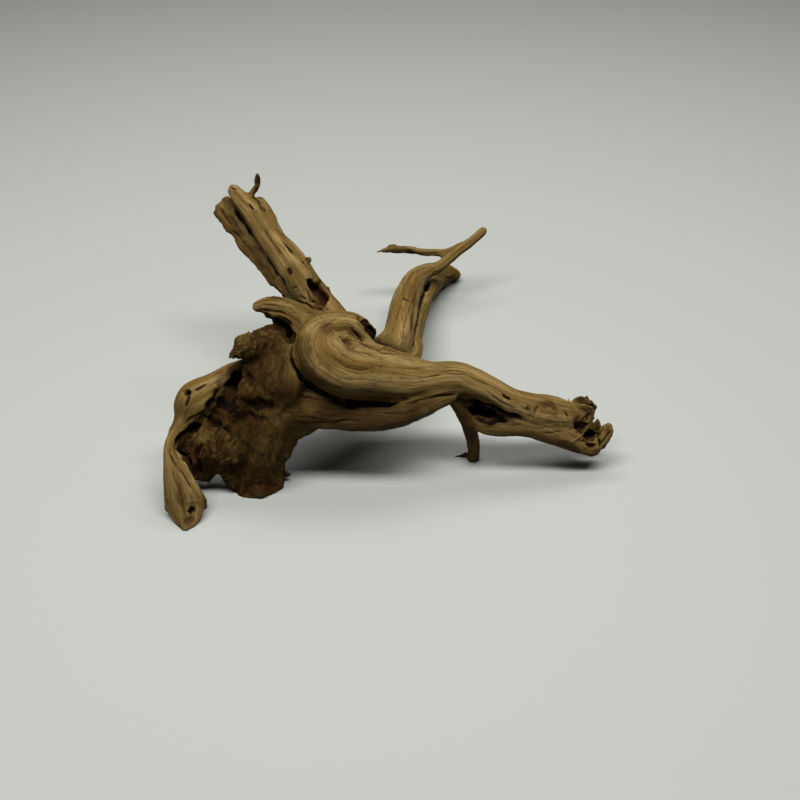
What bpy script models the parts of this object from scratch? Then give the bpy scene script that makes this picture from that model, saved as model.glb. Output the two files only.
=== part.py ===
"""Driftwood: the sand-worn root of a bush, one solid body of wood that stands on the ends of its roots.

The frame: +X runs along the main limb, +Y away from the side that shows best, and +Z up from the surface
that it stands on.
"""

import math
from collections import namedtuple

import bmesh
import bpy
from mathutils import Vector, noise

MM = 0.001

# Limb is one strand of wood: its stations along its middle, then how strongly its section is fluted, and how
# lumpy its skin is in millimetres.
Limb = namedtuple("Limb", "stations flute lumps", defaults=(0.10, 0.3))

# A station is x, y, z of the middle, then the half width seen across the line of sight and the half depth
# along it, all in millimetres. The line of sight looks along +Y and down by this many degrees.
SIGHT_ELEVATION = 38.0

# The x and y of the whole piece's middle among the stations. It becomes the origin.
MIDDLE = Vector((-2.5, 3.5, 0))

MAIN_LIMB = {
    "main_strand": Limb([
        (109, -67, 26, 5.5, 4.5),
        (102, -67, 28, 8, 7.5),
        (92, -70, 31, 11.5, 9.5),
        (77, -73, 37, 11, 10),
        (63, -73, 44, 8.5, 9),
        (48, -70, 52, 8.5, 9.5),
        (33, -67, 57, 9.5, 11),
        (17, -71, 59, 10.5, 11.5),
        (1, -74, 62, 14, 12.5),
        (-15, -75, 66, 16, 14.5),
        (-29, -78, 72, 16.5, 15.5),
        (-41, -75, 80, 15.5, 14),
        (-40, -65, 85, 12.5, 12),
        (-31, -59, 86, 9, 9.5),
        (-23, -58, 84, 8, 8),
        (-17, -60, 82, 6, 6.5),
    ], flute=0.08, lumps=0.4),
    "lower_strand": Limb([
        (-65, -82, 50, 12.5, 9),
        (-49, -83, 47, 12, 9),
        (-33, -85, 45, 9, 8),
        (-16, -88, 45, 8, 8),
        (1, -87, 46, 6.5, 8),
        (17, -82, 49, 5.5, 6.5),
        (30, -75, 50, 4.5, 6),
        (41, -72, 46, 4, 4.5),
    ], flute=0.12, lumps=0.5),
    "web": Limb([
        (-68, -82, 32, 9, 8),
        (-57, -81, 34, 8, 7),
        (-46, -80, 39, 6.5, 7),
        (-28, -76, 44, 5.5, 7),
        (-7, -80, 45, 4.5, 5.5),
    ]),
    "end_lower": Limb([
        (37, -72, 34, 3.5, 4.5),
        (47, -79, 32, 4.5, 5),
        (58, -81, 31, 4.5, 5),
        (72, -79, 30, 5, 6),
        (87, -78, 27, 7.5, 7),
        (102, -79, 20, 6.5, 6),
        (114, -80, 14, 4, 4),
    ], flute=0.10, lumps=0.4),
    "trough_wall": Limb([
        (33, -64, 43, 5, 3.5),
        (47, -70, 38, 6.5, 3),
        (62, -73, 34, 5, 3),
        (75, -73, 32, 4, 3),
    ]),
    "end_crown": Limb([
        (105, -67, 28, 7.5, 3),
        (108, -63, 32, 8, 2.5),
        (110, -61, 35, 7, 2.5),
    ], flute=0.20, lumps=0.8),
    "end_flake": Limb([
        (110, -82, 16, 4, 3.5),
        (117, -80, 18, 3.5, 3.5),
        (121, -77, 23, 3, 3),
        (123, -74, 26, 2.5, 2.5),
    ], flute=0.20, lumps=0.6),
    "end_back": Limb([
        (102, -68, 24, 6.5, 3),
        (112, -68, 19, 6.5, 3),
        (119, -70, 16, 5.5, 2.5),
    ], lumps=0.6),
    "peg": Limb([
        (35, -72, 46, 6.5, 5),
        (39, -74, 36, 5.5, 4.5),
        (42, -74, 24, 4.5, 4),
        (44.5, -73, 12, 4, 3.5),
        (45, -72, -2, 4, 3.5),
    ], flute=0.14, lumps=0.3),
}

STUMP = {
    "body": Limb([
        (-61, -62, 76, 11, 11),
        (-67, -71, 64, 19, 14.5),
        (-74, -78, 46, 24, 14.5),
        (-77, -88, 28, 17, 13),
        (-79, -91, 20, 14, 12),
        (-80, -93, 10, 13, 10.5),
        (-80, -98, -4, 14, 8.5),
    ], flute=0.22, lumps=1.4),
    "heart": Limb([
        (-62, -62, 62, 17.5, 15),
        (-41, -52, 62, 21, 18.5),
        (-21, -51, 56, 15, 15),
        (-4, -39, 48, 9.5, 9.5),
    ], flute=0.15, lumps=1.0),
    "knob": Limb([
        (-68, -62, 76, 12.5, 10),
        (-78, -66, 79, 8, 8),
        (-85, -75, 82, 6, 5.5),
        (-90, -80, 81, 2.5, 2.5),
    ], flute=0.20, lumps=1.6),
    "rough_mass": Limb([
        (-83, -76, 56, 12.5, 10),
        (-95, -81, 42, 16, 11),
        (-109, -92, 30, 20.5, 9.5),
        (-112, -95, 17, 13.5, 7.5),
        (-111, -96, 7, 4.5, 4),
    ], flute=0.25, lumps=2.0),
    "skirt": Limb([
        (-97, -88, 28, 11.5, 8),
        (-95, -93, 16, 10.5, 7.5),
        (-92, -97, 7, 7.5, 6.5),
    ], flute=0.25, lumps=2.0),
    "front_leg": Limb([
        (-88, -66, 60, 7, 7),
        (-102, -77, 57, 8.5, 7.5),
        (-115, -81, 50, 10, 7.5),
        (-120, -87, 41, 6.5, 6),
        (-127, -99, 33, 3.5, 4.5),
        (-124, -109, 24, 6.5, 5.5),
        (-120, -116, 14, 10, 6.5),
        (-118, -121, 5, 10, 6),
        (-117, -130, -3, 4, 4.5),
    ], flute=0.12, lumps=0.4),
    "stub": Limb([
        (-48, -59, 84, 10, 8),
        (-60, -57, 92, 8.5, 6.5),
        (-70, -51, 94, 5, 5),
        (-78.5, -52, 94, 3, 3),
    ], flute=0.22, lumps=0.6),
}

UPPER_BRANCH = {
    "upper_branch": Limb([
        (-36, -44, 62, 15, 14),
        (-42, -30, 70, 12.5, 11),
        (-50, -18, 78, 10, 9),
        (-59, -8, 86, 9, 8),
        (-69, 6, 93, 8, 7.5),
        (-79, 18, 100, 7.5, 6.5),
        (-88, 32, 107, 7, 6),
        (-97, 41, 113, 5.5, 5.5),
        (-103, 50, 116, 4, 4.5),
    ], flute=0.08, lumps=0.3),
    "upper_flake": Limb([
        (-62, -12, 73, 5, 4),
        (-73, 1, 80, 5.5, 3),
        (-85, 15, 87, 6, 3),
        (-95, 30, 94, 7.5, 3),
        (-103, 42, 101, 8, 3),
        (-112, 52, 105, 7.5, 3),
    ], flute=0.25, lumps=1.2),
    "upper_side": Limb([
        (-70, 12, 96, 3.5, 4.5),
        (-78, 26, 102, 5, 4.5),
        (-83, 38, 107, 5, 4.5),
        (-87, 47, 110, 4, 3.5),
    ], flute=0.16, lumps=0.5),
    "upper_rim": Limb([
        (-70, 22, 97, 2, 3),
        (-62, 12, 93, 3, 4),
        (-55, 1, 89, 3, 4.5),
        (-49, -8, 85, 3, 4),
        (-43, -13, 80, 2.5, 4),
        (-38, -22, 72, 4.5, 5),
    ], flute=0.12, lumps=0.3),
    "twig": Limb([
        (-95, 45, 112, 2, 2),
        (-91, 44, 117, 2, 2),
        (-88, 44, 121, 2, 2),
        (-86, 44, 125, 2, 2),
        (-87, 47, 129, 1, 1),
    ], flute=0.10, lumps=0.2),
}

BACK_BRANCH = {
    "back_branch": Limb([
        (-22, -44, 52, 14, 13),
        (-8, -32, 48, 12.5, 11.5),
        (0, -8, 44, 10.5, 10),
        (3, 33, 38, 9.5, 9.5),
        (7, 64, 33, 8.5, 8.5),
        (12, 85, 31, 7.5, 8),
        (20, 94, 32, 5.5, 5.5),
        (28, 96, 34, 4, 4.5),
        (37, 104, 37, 3.5, 3.5),
        (44, 110, 40, 3.5, 3.5),
        (53, 118, 43, 3.5, 3.5),
        (62, 126, 47, 3.5, 3),
    ], flute=0.08, lumps=0.3),
    "back_rail": Limb([
        (-8, -42, 46, 6, 6),
        (8, -22, 41, 5.5, 6),
        (11, 8, 35, 4.5, 6),
        (15, 46, 27, 5, 6),
        (20, 81, 19, 5.5, 6.5),
        (27, 112, 12, 6.5, 6.5),
        (36, 131, 7, 7.5, 7.5),
        (41, 134, 5, 6, 6),
    ], flute=0.12, lumps=0.4),
    "side_twig": Limb([
        (49, 118, 39, 3.5, 3.5),
        (34, 109, 39, 3, 3),
        (20, 105, 41, 2.5, 2.5),
        (7, 105, 43, 3, 3),
        (-4, 102, 45, 3, 3),
        (-10, 99, 46, 2, 2),
        (-16, 94, 47, 0.5, 0.5),
    ], flute=0.08, lumps=0.2),
}

HOLLOWS = {
    "eye": Limb([
        (-21, -55, 89, 1.5, 6.5),
        (-17, -62, 88, 3.5, 8.5),
        (-13, -66, 85, 3, 7.5),
        (-7, -69, 81, 1.5, 4.5),
    ]),
    "end_hollow": Limb([
        (103, -74, 26, 2.5, 5),
        (112, -75, 22, 5.5, 4.5),
    ]),
    "trough": Limb([
        (37, -79, 48, 5.5, 6),
        (44, -83, 45, 8.5, 7),
        (55, -83, 43, 5, 6),
        (65, -82, 37, 1.5, 4),
    ]),
    "stub_gap": Limb([
        (-75, -62, 93, 2, 7.5),
        (-65, -61, 88, 4, 7.5),
        (-59, -68, 84, 3.5, 6.5),
    ]),
    "branch_cavity": Limb([
        (-51, -16, 88, 3, 5.5),
        (-47, -21, 84, 4.5, 6.5),
        (-43, -25, 78, 4, 5.5),
    ]),
    "body_hollow": Limb([
        (-88, -75, 64, 4, 6.5),
        (-96, -87, 56, 4.5, 7),
        (-106, -95, 46, 5.5, 7),
        (-117, -101, 38, 4.5, 5.5),
    ]),
    "back_crack": Limb([
        (22, 100, 22, 2.5, 4.5),
        (18, 74, 23, 2.5, 4.5),
        (13, 38, 29, 2, 4),
        (9, -5, 37, 2, 4),
    ]),
    "strand_crack": Limb([
        (-57, -77, 69, 1.5, 5),
        (-48, -84, 63, 1.5, 5.5),
        (-34, -88, 57, 1.5, 5.5),
        (-20, -88, 54, 2, 6),
        (-3, -87, 53, 1, 4.5),
    ]),
}

# Lofting and meshing
STEP_ALONG = 2.0
SIDES = 28
DOME_ANGLES = (35, 60, 80)
FLUTES_AROUND = 1.5
FLUTE_LENGTH = 40.0
LUMP_SIZE = 7.0
FULL_LUMPS_FROM = 4.0
NOISE_APART = Vector((11.3, 5.7, 3.1))
VOXEL = 1.4
SOFTEN_SHARE = 0.5
SOFTEN_ROUNDS = 2
KEEP_TRIANGLES = 0.107

# Tree wood, worn and dry
WOOD_COLOUR = (0.30, 0.19, 0.09, 1.0)
WOOD_ROUGHNESS = 0.8

# The block that levels the feet
FLOOR_BLOCK = 400.0


def catmull_rom(p0, p1, p2, p3, t):
    """The point at t between p1 and p2, on the smooth curve through all four."""
    return [
        0.5 * (2 * b + (c - a) * t + (2 * a - 5 * b + 4 * c - d) * t ** 2 + (3 * b - a - 3 * c + d) * t ** 3)
        for a, b, c, d in zip(p0, p1, p2, p3)
    ]


def sampled(stations):
    """Rows of x, y, z, wide, deep on a smooth curve through the stations, about STEP_ALONG apart."""
    before = [2 * a - b for a, b in zip(stations[0], stations[1])]
    after = [2 * a - b for a, b in zip(stations[-1], stations[-2])]
    held = [before, *stations, after]
    found = []
    for p0, p1, p2, p3 in zip(held, held[1:], held[2:], held[3:]):
        count = max(2, round(math.dist(p1[:3], p2[:3]) / STEP_ALONG))
        found += [catmull_rom(p0, p1, p2, p3, i / count) for i in range(count)]
    found.append(list(stations[-1]))
    return found


def dome(end, inner):
    """Rows past the end that close it round."""
    out = (Vector(end[:3]) - Vector(inner[:3])).normalized()
    reach = min(end[3], end[4])
    found = []
    for degrees in DOME_ANGLES:
        grown = math.sin(math.radians(degrees))
        shrunk = math.cos(math.radians(degrees))
        found.append([*(Vector(end[:3]) + out * reach * grown), end[3] * shrunk, end[4] * shrunk])
    return found


def loft(limb, seed):
    """A closed mesh through the limb's sections, in millimetres."""
    elevation = math.radians(SIGHT_ELEVATION)
    sight = Vector((0, math.cos(elevation), -math.sin(elevation)))
    rows = sampled(limb.stations)
    rows = dome(rows[0], rows[1])[::-1] + rows + dome(rows[-1], rows[-2])
    offset = NOISE_APART * seed
    bm = bmesh.new()
    rings = []
    along = 0.0
    for i, row in enumerate(rows):
        middle = Vector(row[:3])
        before = Vector(rows[max(i - 1, 0)][:3])
        after = Vector(rows[min(i + 1, len(rows) - 1)][:3])
        along += (middle - before).length
        tangent = (after - before).normalized()
        across = tangent.cross(sight).normalized()
        out = across.cross(tangent)
        ring = []
        for k in range(SIDES):
            angle = math.tau * k / SIDES
            place = Vector((math.cos(angle), math.sin(angle), 0)) * FLUTES_AROUND
            place.z = along / FLUTE_LENGTH
            arm = across * (math.cos(angle) * row[3]) + out * (math.sin(angle) * row[4])
            point = middle + arm * (1 + 2 * limb.flute * noise.noise(place + offset))
            lump = limb.lumps * noise.noise(point / LUMP_SIZE + offset)
            point += arm.normalized() * lump * min(1, arm.length / FULL_LUMPS_FROM)
            ring.append(bm.verts.new(point - MIDDLE))
        rings.append(ring)
    for ring, following in zip(rings, rings[1:]):
        for k in range(SIDES):
            j = (k + 1) % SIDES
            bm.faces.new((ring[k], ring[j], following[j], following[k]))
    bm.faces.new(rings[0][::-1])
    bm.faces.new(rings[-1])
    bmesh.ops.recalc_face_normals(bm, faces=bm.faces)
    return bm


def lofts(name, limbs, first_seed):
    """All the limbs' lofts in one mesh, in metres."""
    whole = bmesh.new()
    part = bpy.data.meshes.new("limb")
    for seed, limb in enumerate(limbs, first_seed):
        piece = loft(limb, seed)
        piece.to_mesh(part)
        piece.free()
        whole.from_mesh(part)
    bpy.data.meshes.remove(part)
    bmesh.ops.scale(whole, vec=(MM, MM, MM), verts=whole.verts)
    mesh = bpy.data.meshes.new(name)
    whole.to_mesh(mesh)
    whole.free()
    return mesh


def collection(name):
    made = bpy.data.collections.new(name)
    bpy.context.scene.collection.children.link(made)
    return made


def cutter(name, mesh, place):
    made = bpy.data.objects.new(name, mesh)
    made.hide_render = True
    made.display_type = "WIRE"
    place.objects.link(made)
    return made


def cut(wood, tool):
    made = wood.modifiers.new(tool.name, "BOOLEAN")
    made.operation = "DIFFERENCE"
    made.solver = "EXACT"
    made.object = tool


def fuse(wood, name):
    made = wood.modifiers.new(name, "REMESH")
    made.mode = "VOXEL"
    made.voxel_size = VOXEL * MM


def floor_block(place):
    """A block whose top is the surface that the wood stands on."""
    bm = bmesh.new()
    bmesh.ops.create_cube(bm, size=FLOOR_BLOCK * MM)
    bmesh.ops.translate(bm, vec=(0, 0, -FLOOR_BLOCK * MM / 2), verts=bm.verts)
    mesh = bpy.data.meshes.new("floor_block")
    bm.to_mesh(mesh)
    bm.free()
    return cutter("floor_block", mesh, place)


def wood_material():
    made = bpy.data.materials.new("wood")
    made.use_nodes = True
    shader = made.node_tree.nodes["Principled BSDF"]
    shader.inputs["Base Color"].default_value = WOOD_COLOUR
    shader.inputs["Roughness"].default_value = WOOD_ROUGHNESS
    shader.inputs["Metallic"].default_value = 0.0
    return made


def main():
    for obj in list(bpy.data.objects):
        bpy.data.objects.remove(obj)
    parts = collection("driftwood")
    cutters = collection("cutters")
    limbs = [*MAIN_LIMB.values(), *STUMP.values(), *UPPER_BRANCH.values(), *BACK_BRANCH.values()]
    wood = bpy.data.objects.new("driftwood", lofts("driftwood", limbs, 1))
    wood.data.materials.append(wood_material())
    parts.objects.link(wood)
    fuse(wood, "fuse_limbs")
    for seed, (name, limb) in enumerate(HOLLOWS.items(), len(limbs) + 1):
        cut(wood, cutter(name, lofts(name, [limb], seed), cutters))
    fuse(wood, "even_out")
    soften = wood.modifiers.new("soften", "SMOOTH")
    soften.factor = SOFTEN_SHARE
    soften.iterations = SOFTEN_ROUNDS
    thin = wood.modifiers.new("thin", "DECIMATE")
    thin.ratio = KEEP_TRIANGLES
    cut(wood, floor_block(cutters))


main()
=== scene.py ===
# %% [markdown]
# # Driftwood
# The object is one dry root that sand and water have worn: silky limbs, a dark crumbled stump and broken
# ends. The measured frame already holds its main form. This lesson loads that form, gives it a much finer
# skin, breaks its ends, draws the grain along every limb, opens the cracks, and then paints each place by
# what it is made of, adding painted shade in its cracks, hollows and undersides and a painted highlight on
# its ridges.

# %% Load the measured frame
import math
from collections import namedtuple

import bmesh
import bpy
import numpy as np
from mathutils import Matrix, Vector, noise
from mathutils.bvhtree import BVHTree
from mathutils.kdtree import KDTree


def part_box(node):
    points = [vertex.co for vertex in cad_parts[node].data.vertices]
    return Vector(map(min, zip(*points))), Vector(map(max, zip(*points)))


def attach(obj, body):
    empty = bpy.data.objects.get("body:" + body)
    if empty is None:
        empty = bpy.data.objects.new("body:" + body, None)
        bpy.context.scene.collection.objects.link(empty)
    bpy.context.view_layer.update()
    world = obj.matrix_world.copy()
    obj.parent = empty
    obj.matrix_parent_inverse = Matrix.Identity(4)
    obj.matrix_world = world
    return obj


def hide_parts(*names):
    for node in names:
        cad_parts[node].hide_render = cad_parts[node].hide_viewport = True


MM = 0.001
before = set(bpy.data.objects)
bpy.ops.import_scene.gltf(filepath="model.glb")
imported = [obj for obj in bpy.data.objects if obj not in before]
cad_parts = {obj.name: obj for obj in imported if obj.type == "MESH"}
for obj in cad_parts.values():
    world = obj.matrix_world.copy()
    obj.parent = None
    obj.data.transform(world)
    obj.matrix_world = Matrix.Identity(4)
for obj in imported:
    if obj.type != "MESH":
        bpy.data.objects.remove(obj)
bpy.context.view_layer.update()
box_low, box_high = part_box("driftwood")
print("the frame's wood measures", [round(side / MM) for side in box_high - box_low], "mm")

# %% [markdown]
# ## The camera
# The picture looks down on the root from about the height of a standing person's hands. A lens of 45
# degrees in a square picture, just over half a metre away, gives the same crossing of limbs as the real
# view. The camera is made first, because the cracks are later drawn from where it stands.

# %% Camera
VIEW_DOWN = math.radians(38)
VIEW_ANGLE = math.radians(45)
VIEW_DISTANCE = 0.560
VIEW_TARGET = Vector((0.0035, -0.0695, 0.040))
PICTURE = 800

sight = Vector((0, math.cos(VIEW_DOWN), -math.sin(VIEW_DOWN)))
picture_up = Vector((0, math.sin(VIEW_DOWN), math.cos(VIEW_DOWN)))
eye = VIEW_TARGET - sight * VIEW_DISTANCE
focal = PICTURE / 2 / math.tan(VIEW_ANGLE / 2)

camera_data = bpy.data.cameras.new("camera")
camera_data.angle = VIEW_ANGLE
camera = bpy.data.objects.new("camera", camera_data)
camera.location = eye
camera.rotation_euler = (math.pi / 2 - VIEW_DOWN, 0, 0)
bpy.context.scene.collection.objects.link(camera)
bpy.context.scene.camera = camera
bpy.context.scene.view_settings.view_transform = "Standard"
print("one picture point is", round(VIEW_DISTANCE / focal / MM, 2), "mm wide at the wood")

# %% [markdown]
# ## The floor and the light
# The root stands on a plain pale sheet under two long lamps that hang above it, as a shop's strip lights
# do. The stronger one is nearly overhead, and puts dark, close shadows right under the limbs that run
# along it. The weaker one is further back, and gives those shadows their soft tail towards the viewer. A
# real sheet throws some light back up, so its colour is kept a little darker than it looks, and the lamps
# are made stronger.

# %% A helper that makes a material and gives back its shader
def new_material(name, specular):
    made = bpy.data.materials.new(name)
    made.use_nodes = True
    shader = made.node_tree.nodes["Principled BSDF"]
    shader.inputs["Specular IOR Level"].default_value = specular
    return made, shader


# %% Floor
FLOOR_SIZE = 6.0
FLOOR_COLOUR = (0.386, 0.401, 0.384, 1)
FLOOR_ROUGHNESS = 0.7
FLOOR_SPECULAR = 0.2

floor_mesh = bpy.data.meshes.new("floor")
half = FLOOR_SIZE / 2
floor_corners = [(-half, -half, 0), (half, -half, 0), (half, half, 0), (-half, half, 0)]
floor_mesh.from_pydata(floor_corners, [], [(0, 1, 2, 3)])
floor = bpy.data.objects.new("floor", floor_mesh)
bpy.context.scene.collection.objects.link(floor)
floor_material, floor_shader = new_material("pale_sheet", FLOOR_SPECULAR)
floor_shader.inputs["Roughness"].default_value = FLOOR_ROUGHNESS
floor_shader.inputs["Base Color"].default_value = FLOOR_COLOUR
floor_mesh.materials.append(floor_material)

# %% Lamps and room light
Lamp = namedtuple("Lamp", "place long deep power")

LAMPS = {
    "front_strip": Lamp((-0.06, -0.24, 1.10), 1.30, 0.24, 17.4),
    "back_panel": Lamp((0.05, 0.50, 1.15), 1.40, 0.42, 9.2),
}
LAMP_COLOUR = (1.0, 0.99, 0.955)
ROOM_COLOUR = (0.95, 1.0, 0.98, 1)
ROOM_LIGHT = 0.03


def hang(name, lamp):
    """An area lamp that shines straight down."""
    data = bpy.data.lights.new(name, "AREA")
    data.shape = "RECTANGLE"
    data.size = lamp.long
    data.size_y = lamp.deep
    data.energy = lamp.power
    data.color = LAMP_COLOUR
    made = bpy.data.objects.new(name, data)
    made.location = lamp.place
    bpy.context.scene.collection.objects.link(made)


for name, lamp in LAMPS.items():
    hang(name, lamp)

room = bpy.data.worlds.new("room")
room.use_nodes = True
room.node_tree.nodes["Background"].inputs["Color"].default_value = ROOM_COLOUR
room.node_tree.nodes["Background"].inputs["Strength"].default_value = ROOM_LIGHT
bpy.context.scene.world = room
print(len(LAMPS), "lamps,", sum(lamp.power for lamp in LAMPS.values()), "W together")

# %% [markdown]
# ## The strands of wood
# A root is a bundle of strands, and its grain runs along each of them. So every strand gets a middle
# line, with its half width and half depth along the way, as the solid's own lofts have. A point of the
# skin then knows which strand it belongs to, how far along it lies and on which side: those are its grain
# coordinates. Two more numbers say how crumbled a strand is and how dark it is painted: partly the
# wood's own colour, and partly painted shade on strands that lie under other wood.

# %% The middle lines
# A station is x, y, z, half width across the line of sight and half depth along it, in millimetres. A
# strand's last two numbers are how rough and how dark it is, from 0 to 1. The peg, the lower strand, the
# web and the trough wall lie under other wood, and their darkness is partly painted shade. STATIONS_MIDDLE
# is the place among the stations that the frame has at its origin.
Strand = namedtuple("Strand", "stations rough dark", defaults=(0.0, 0.0))
STATIONS_MIDDLE = Vector((-2.5, 3.5, 0))

MAIN_LIMB = {
    "main_strand": Strand([
        (109, -67, 26, 5.5, 4.5),
        (102, -67, 28, 8, 7.5),
        (92, -70, 31, 11.5, 9.5),
        (77, -73, 37, 11, 10),
        (63, -73, 44, 8.5, 9),
        (48, -70, 52, 8.5, 9.5),
        (33, -67, 57, 9.5, 11),
        (17, -71, 59, 10.5, 11.5),
        (1, -74, 62, 14, 12.5),
        (-15, -75, 66, 16, 14.5),
        (-29, -78, 72, 16.5, 15.5),
        (-41, -75, 80, 15.5, 14),
        (-40, -65, 85, 12.5, 12),
        (-31, -59, 86, 9, 9.5),
        (-23, -58, 84, 8, 8),
        (-17, -60, 82, 6, 6.5),
    ]),
    "lower_strand": Strand([
        (-65, -82, 50, 12.5, 9),
        (-49, -83, 47, 12, 9),
        (-33, -85, 45, 9, 8),
        (-16, -88, 45, 8, 8),
        (1, -87, 46, 6.5, 8),
        (17, -82, 49, 5.5, 6.5),
        (30, -75, 50, 4.5, 6),
        (41, -72, 46, 4, 4.5),
    ], rough=0.15, dark=0.7),
    "web": Strand([
        (-68, -82, 32, 9, 8),
        (-57, -81, 34, 8, 7),
        (-46, -80, 39, 6.5, 7),
        (-28, -76, 44, 5.5, 7),
        (-7, -80, 45, 4.5, 5.5),
    ], rough=0.3, dark=0.75),
    "end_lower": Strand([
        (37, -72, 34, 3.5, 4.5),
        (47, -79, 32, 4.5, 5),
        (58, -81, 31, 4.5, 5),
        (72, -79, 30, 5, 6),
        (87, -78, 27, 7.5, 7),
        (102, -79, 20, 6.5, 6),
        (114, -80, 14, 4, 4),
    ], rough=0.1, dark=0.45),
    "trough_wall": Strand([
        (33, -64, 43, 5, 3.5),
        (47, -70, 38, 6.5, 3),
        (62, -73, 34, 5, 3),
        (75, -73, 32, 4, 3),
    ], rough=0.4, dark=0.7),
    "end_crown": Strand([
        (105, -67, 28, 7.5, 3),
        (108, -63, 32, 8, 2.5),
        (110, -61, 35, 7, 2.5),
    ], rough=0.7, dark=0.25),
    "end_flake": Strand([
        (110, -82, 16, 4, 3.5),
        (117, -80, 18, 3.5, 3.5),
        (121, -77, 23, 3, 3),
        (123, -74, 26, 2.5, 2.5),
    ], rough=0.4, dark=0.15),
    "end_back": Strand([
        (102, -68, 24, 6.5, 3),
        (112, -68, 19, 6.5, 3),
        (119, -70, 16, 5.5, 2.5),
    ], rough=0.6, dark=0.4),
    "peg": Strand([
        (35, -72, 46, 6.5, 5),
        (39, -74, 36, 5.5, 4.5),
        (42, -74, 24, 4.5, 4),
        (44.5, -73, 12, 4, 3.5),
        (45, -72, -2, 4, 3.5),
    ], rough=0.1, dark=0.85),
}

STUMP = {
    "body": Strand([
        (-61, -62, 76, 11, 11),
        (-67, -71, 64, 19, 14.5),
        (-74, -78, 46, 24, 14.5),
        (-77, -88, 28, 17, 13),
        (-79, -91, 20, 14, 12),
        (-80, -93, 10, 13, 10.5),
        (-80, -98, -4, 14, 8.5),
    ], rough=0.64, dark=0.8),
    "heart": Strand([
        (-62, -62, 62, 17.5, 15),
        (-41, -52, 62, 21, 18.5),
        (-21, -51, 56, 15, 15),
        (-4, -39, 48, 9.5, 9.5),
    ], rough=0.68, dark=0.7),
    "knob": Strand([
        (-68, -62, 76, 12.5, 10),
        (-78, -66, 79, 8, 8),
        (-85, -75, 82, 6, 5.5),
        (-90, -80, 81, 2.5, 2.5),
    ], rough=0.9, dark=0.4),
    "rough_mass": Strand([
        (-83, -76, 56, 12.5, 10),
        (-95, -81, 42, 16, 11),
        (-109, -92, 30, 20.5, 9.5),
        (-112, -95, 17, 13.5, 7.5),
        (-111, -96, 7, 4.5, 4),
    ], rough=0.95, dark=0.35),
    "skirt": Strand([
        (-97, -88, 28, 11.5, 8),
        (-95, -93, 16, 10.5, 7.5),
        (-92, -97, 7, 7.5, 6.5),
    ], rough=1.0, dark=0.7),
    "front_leg": Strand([
        (-88, -66, 60, 7, 7),
        (-102, -77, 57, 8.5, 7.5),
        (-115, -81, 50, 10, 7.5),
        (-120, -87, 41, 6.5, 6),
        (-127, -99, 33, 3.5, 4.5),
        (-124, -109, 24, 6.5, 5.5),
        (-120, -116, 14, 10, 6.5),
        (-118, -121, 5, 10, 6),
        (-117, -130, -3, 4, 4.5),
    ], rough=0.05, dark=0.05),
    "stub": Strand([
        (-48, -59, 84, 10, 8),
        (-60, -57, 92, 8.5, 6.5),
        (-70, -51, 94, 5, 5),
        (-78.5, -52, 94, 3, 3),
    ], rough=0.15, dark=0.05),
}

UPPER_BRANCH = {
    "upper_branch": Strand([
        (-36, -44, 62, 15, 14),
        (-42, -30, 70, 12.5, 11),
        (-50, -18, 78, 10, 9),
        (-59, -8, 86, 9, 8),
        (-69, 6, 93, 8, 7.5),
        (-79, 18, 100, 7.5, 6.5),
        (-88, 32, 107, 7, 6),
        (-97, 41, 113, 5.5, 5.5),
        (-103, 50, 116, 4, 4.5),
    ]),
    "upper_flake": Strand([
        (-62, -12, 73, 5, 4),
        (-73, 1, 80, 5.5, 3),
        (-85, 15, 87, 6, 3),
        (-95, 30, 94, 7.5, 3),
        (-103, 42, 101, 8, 3),
        (-112, 52, 105, 7.5, 3),
    ], rough=0.5, dark=0.3),
    "upper_side": Strand([
        (-70, 12, 96, 3.5, 4.5),
        (-78, 26, 102, 5, 4.5),
        (-83, 38, 107, 5, 4.5),
        (-87, 47, 110, 4, 3.5),
    ], rough=0.1, dark=0.1),
    "upper_rim": Strand([
        (-70, 22, 97, 2, 3),
        (-62, 12, 93, 3, 4),
        (-55, 1, 89, 3, 4.5),
        (-49, -8, 85, 3, 4),
        (-43, -13, 80, 2.5, 4),
        (-38, -22, 72, 4.5, 5),
    ], rough=0.1),
    "twig": Strand([
        (-95, 45, 112, 2, 2),
        (-91, 44, 117, 2, 2),
        (-88, 44, 121, 2, 2),
        (-86, 44, 125, 2, 2),
        (-87, 47, 129, 1, 1),
    ], rough=0.1, dark=0.3),
}

BACK_BRANCH = {
    "back_branch": Strand([
        (-22, -44, 52, 14, 13),
        (-8, -32, 48, 12.5, 11.5),
        (0, -8, 44, 10.5, 10),
        (3, 33, 38, 9.5, 9.5),
        (7, 64, 33, 8.5, 8.5),
        (12, 85, 31, 7.5, 8),
        (20, 94, 32, 5.5, 5.5),
        (28, 96, 34, 4, 4.5),
        (37, 104, 37, 3.5, 3.5),
        (44, 110, 40, 3.5, 3.5),
        (53, 118, 43, 3.5, 3.5),
        (62, 126, 47, 3.5, 3),
    ]),
    "back_rail": Strand([
        (-8, -42, 46, 6, 6),
        (8, -22, 41, 5.5, 6),
        (11, 8, 35, 4.5, 6),
        (15, 46, 27, 5, 6),
        (20, 81, 19, 5.5, 6.5),
        (27, 112, 12, 6.5, 6.5),
        (36, 131, 7, 7.5, 7.5),
        (41, 134, 5, 6, 6),
    ], rough=0.1, dark=0.1),
    "side_twig": Strand([
        (49, 118, 39, 3.5, 3.5),
        (34, 109, 39, 3, 3),
        (20, 105, 41, 2.5, 2.5),
        (7, 105, 43, 3, 3),
        (-4, 102, 45, 3, 3),
        (-10, 99, 46, 2, 2),
        (-16, 94, 47, 0.5, 0.5),
    ], rough=0.2, dark=0.35),
}

STRANDS = {**MAIN_LIMB, **STUMP, **UPPER_BRANCH, **BACK_BRANCH}
print(len(STRANDS), "strands,", sum(len(strand.stations) for strand in STRANDS.values()), "stations")

# %% A smooth curve through the stations
STEP_ALONG = 2.0
FEWEST_STEPS = 2


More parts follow.
